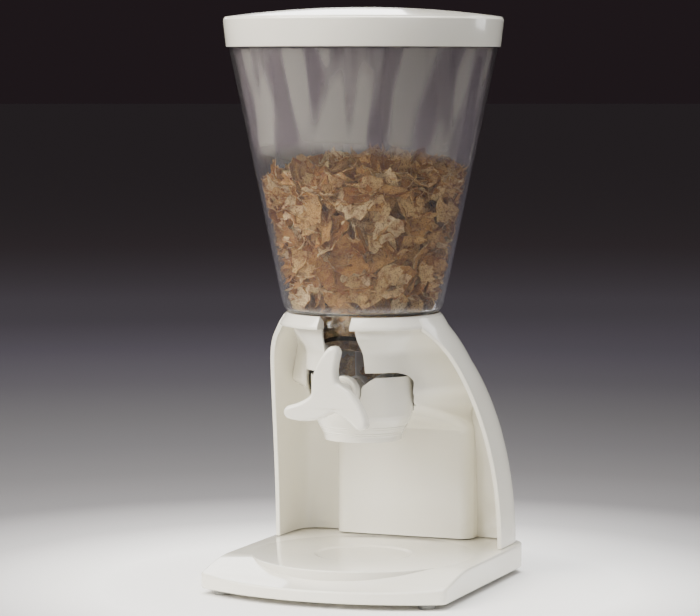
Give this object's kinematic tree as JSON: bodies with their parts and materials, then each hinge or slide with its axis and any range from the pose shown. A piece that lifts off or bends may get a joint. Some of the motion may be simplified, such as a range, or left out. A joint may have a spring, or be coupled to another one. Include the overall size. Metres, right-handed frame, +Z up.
{
  "type": "cereal dispenser",
  "caption": "Gravity-fed dry food dispenser: a clear tapered canister in the collar of a bell-shaped stand, emptied by a paddle wheel turned with a lobed knob.",
  "frame": {"origin": "on the table, under the vertical axis of the canister", "axes": "+Z up, -Y towards the user and the knob, +X to the user's right"},
  "size_m": [0.208, 0.22, 0.4316],
  "materials": {
    "ivory_plastic": "warm ivory moulded plastic, glossy",
    "clear_plastic": "clear, slightly grey moulded plastic, polished",
    "clear_rubber": "greyish translucent soft rubber",
    "silicone": "milky silicone, satin",
    "plated_steel": "zinc-plated steel"
  },
  "bodies": {
    "stand": {"base_plate": "ivory_plastic", "foot_front_left": "clear_rubber", "foot_front_right": "clear_rubber", "foot_rear_left": "clear_rubber", "foot_rear_right": "clear_rubber", "column_shell": "ivory_plastic", "column_box": "ivory_plastic", "column_screw_1": "plated_steel", "column_screw_2": "plated_steel", "column_screw_3": "plated_steel"},
    "canister_unit": {"canister": "clear_plastic", "outlet_cup": "ivory_plastic", "front_bush": "ivory_plastic", "rear_bush": "ivory_plastic"},
    "wheel_unit": {"axle": "ivory_plastic", "axle_clip": "plated_steel", "paddle_wheel": "silicone", "knob": "ivory_plastic"},
    "lid_unit": {"lid": "ivory_plastic", "lid_seal": "silicone"}
  },
  "joints": [
    {"name": "canister_lift", "type": "slide", "parent": "stand", "child": "canister_unit", "axis": [0, 0, 1], "range_m": [0, 0.12]},
    {"name": "knob_turn", "type": "hinge", "parent": "canister_unit", "child": "wheel_unit", "pos_m": [0, 0, 0.149], "axis": [0, 1, 0], "continuous": true},
    {"name": "lid_lift", "type": "slide", "parent": "canister_unit", "child": "lid_unit", "axis": [0, 0, 1], "range_m": [0, 0.06]}
  ]
}
